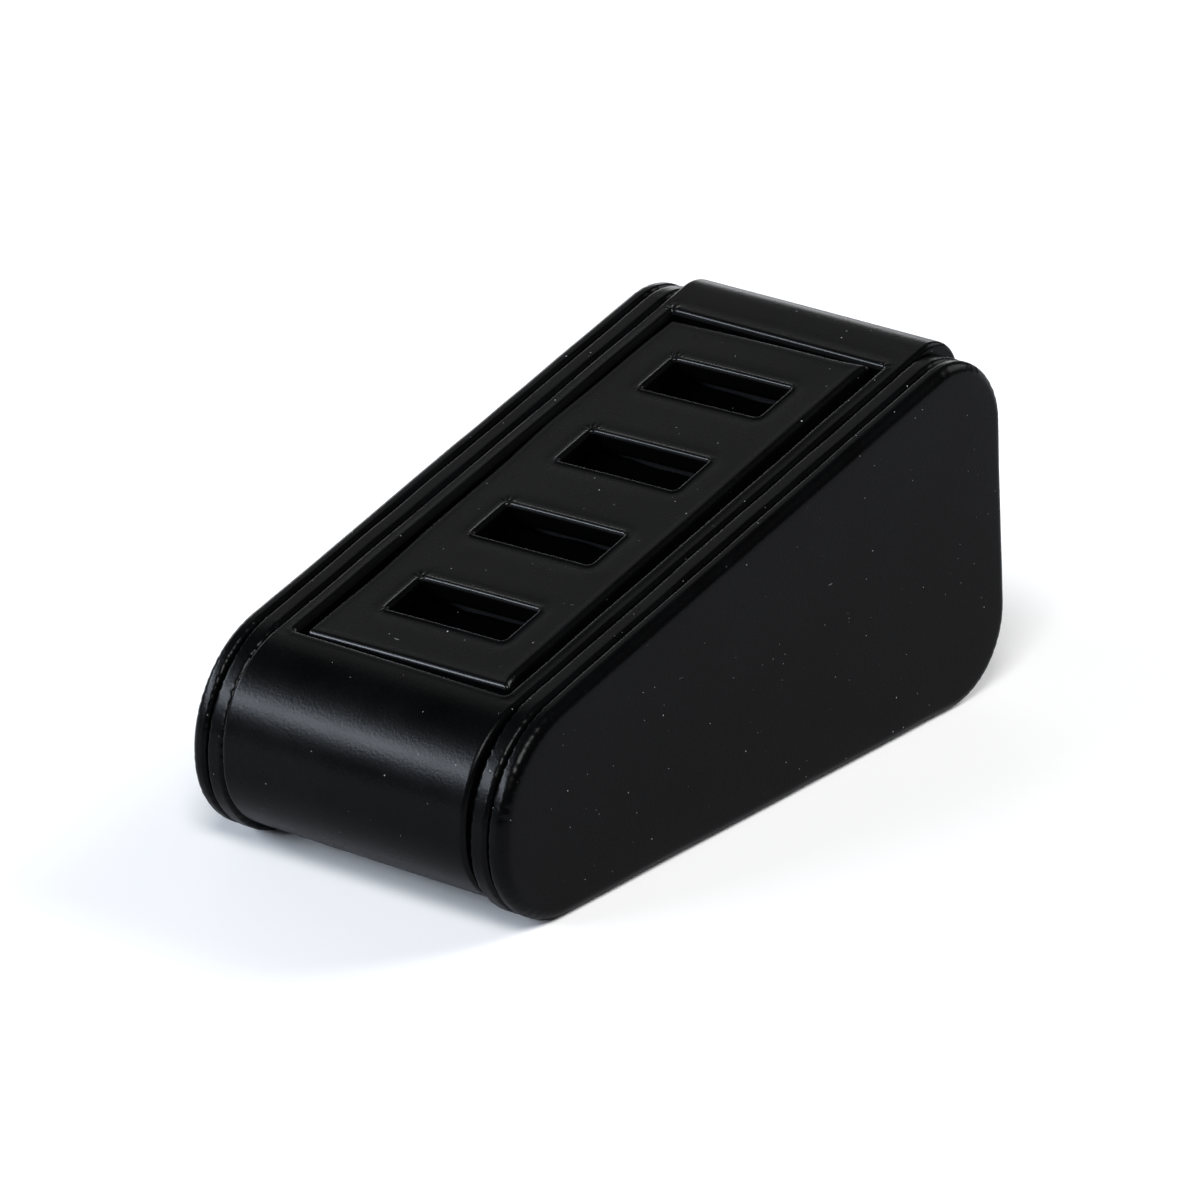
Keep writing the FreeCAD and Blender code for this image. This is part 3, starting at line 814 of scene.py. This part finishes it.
finishes = {
    "foam": matt("black_foam", (0.010, 0.010, 0.011), (0.030, 0.030, 0.032), 1500, (1, 1, 1), 0.85, 0.00008),
    "greyboard": matt("grey_board", (0.24, 0.225, 0.20), (0.38, 0.36, 0.33), 900, (1, 1, 1), 0.85, 0.00003),
    "fibreboard": matt("fibreboard", (0.33, 0.22, 0.13), (0.50, 0.36, 0.23), 700, (1, 1, 3), 0.80, 0.00003),
    "pine": matt("planed_pine", (0.52, 0.36, 0.20), (0.70, 0.53, 0.33), 160, (0.2, 4, 4), 0.65, 0.00003),
    "felt": matt("black_felt", (0.006, 0.006, 0.007), (0.030, 0.030, 0.032), 2200, (1, 1, 1), 0.95, 0.00015),
    "lining_paper": matt("black_lining", (0.004, 0.004, 0.004), (0.010, 0.010, 0.010), 1800, (1, 1, 1), 0.9,
                         0.00005),
    "leatherette": black_skin,
    "roll_cover": roll_skin,
}
for entry in frame["record"]["subparts"]:
    cad_node = frame["nodes"][entry["node"]]
    cad_node.data.materials.clear()
    cad_node.data.materials.append(finishes[entry["material_slot"]])

# ---- floor, light and camera -----------------------------------------------------
# A pale table, a long softbox low at the front left for the highlight round the nose,
# broad ones high at the front right and back, and weak ones low at the back left.
table_half = 6
floor_mesh = bpy.data.meshes.new("table")
floor_mesh.from_pydata([(-table_half, -table_half, 0), (table_half, -table_half, 0),
                        (table_half, table_half, 0), (-table_half, table_half, 0)], [], [(0, 1, 2, 3)])
floor = bpy.data.objects.new("table", floor_mesh)
bpy.context.scene.collection.objects.link(floor)
floor_paint = bpy.data.materials.new("pale_table")
floor_paint.use_nodes = True
tree = floor_paint.node_tree
paint = tree.nodes["Principled BSDF"]
paint.inputs["Roughness"].default_value = 0.9
paint.inputs["Specular IOR Level"].default_value = 0.1
seen = node(tree, "ShaderNodeLightPath").outputs["Is Camera Ray"]
# the table looks near white, and throws less light than that back at the stand
tone = node(tree, "ShaderNodeMixRGB", (), Fac=seen, Color1=(0.47, 0.47, 0.49, 1),
            Color2=(0.96, 0.96, 0.96, 1))
tree.links.new(tone.outputs["Color"], paint.inputs["Base Color"])
floor_mesh.materials.append(floor_paint)

world = bpy.data.worlds.new("studio")
bpy.context.scene.world = world
world.use_nodes = True
world.node_tree.nodes["Background"].inputs["Color"].default_value = (0.95, 0.97, 1.0, 1)
world.node_tree.nodes["Background"].inputs["Strength"].default_value = 0.045


def softbox(name, towards, distance, width, height, power, tint, roll=0.0):
    """Rectangular soft light in a direction from the stand, facing it."""
    lamp = bpy.data.lights.new(name, "AREA")
    lamp.shape = "RECTANGLE"
    lamp.size = width
    lamp.size_y = height
    lamp.energy = power
    lamp.color = tint
    holder = bpy.data.objects.new(name, lamp)
    bpy.context.scene.collection.objects.link(holder)
    aim = np.array(towards, float)
    aim = aim / np.linalg.norm(aim)
    side_way = np.cross((0, 0, 1), aim)
    side_way = side_way / np.linalg.norm(side_way)
    up_way = np.cross(aim, side_way)
    turned = math.cos(roll) * side_way + math.sin(roll) * up_way
    raised = np.cross(aim, turned)
    place = aim * distance + np.array([0, 0, 0.03])
    rows = [(turned[n], raised[n], aim[n], place[n]) for n in range(3)]
    holder.matrix_world = Matrix(rows + [(0, 0, 0, 1)])
    return holder


softbox("key_strip", (-0.65, -0.66, 0.435), 1.2, 1.3, 0.19, 14.6, (0.80, 0.88, 1.0))
softbox("key_spill", (-0.60, -0.60, 0.545), 1.2, 1.3, 0.12, 0.7, (0.80, 0.88, 1.0))
softbox("front_right", (0.36, -0.48, 0.82), 1.8, 0.7, 0.7, 20.0, (1.0, 1.0, 1.0))
softbox("back_high", (0.30, 0.95, 0.55), 1.8, 1.0, 0.8, 6.0, (1.0, 1.0, 1.0))
table_fill = softbox("table_fill", (0.45, 0.90, 0.55), 1.8, 1.0, 0.8, 26.0, (1.0, 1.0, 1.0))
table_fill.visible_glossy = False      # it lights the table and makes no highlight of its own
softbox("back_left", (-0.607, 0.46, 0.65), 1.8, 1.0, 0.8, 1.0, (1.0, 1.0, 0.97))
softbox("left_low", (-0.80, 0.56, 0.14), 2.0, 1.6, 0.6, 7.5, (0.97, 0.98, 1.0))

view_az = math.radians(41.28)
view_el = math.radians(23.04)
view_roll = math.radians(-2.47)
view_target = np.array([-0.0004, 0.0003, 0.0276])
view_distance = 1.39964
back_way = np.array([math.sin(view_az) * math.cos(view_el), -math.cos(view_az) * math.cos(view_el),
                     math.sin(view_el)])
right_way = np.array([math.cos(view_az), math.sin(view_az), 0.0])
up_way = np.cross(back_way, right_way)
level_x = math.cos(view_roll) * right_way + math.sin(view_roll) * up_way
level_y = -math.sin(view_roll) * right_way + math.cos(view_roll) * up_way
eye = view_target + view_distance * back_way
camera_data = bpy.data.cameras.new("camera")
camera_data.sensor_width = 36.0
camera_data.lens = 271.1
camera_data.clip_end = 20.0
camera = bpy.data.objects.new("camera", camera_data)
bpy.context.scene.collection.objects.link(camera)
camera_rows = [(level_x[n], level_y[n], back_way[n], eye[n]) for n in range(3)]
camera.matrix_world = Matrix(camera_rows + [(0, 0, 0, 1)])
bpy.context.scene.camera = camera
bpy.context.scene.view_settings.view_transform = "Standard"
bpy.context.scene.view_settings.look = "None"
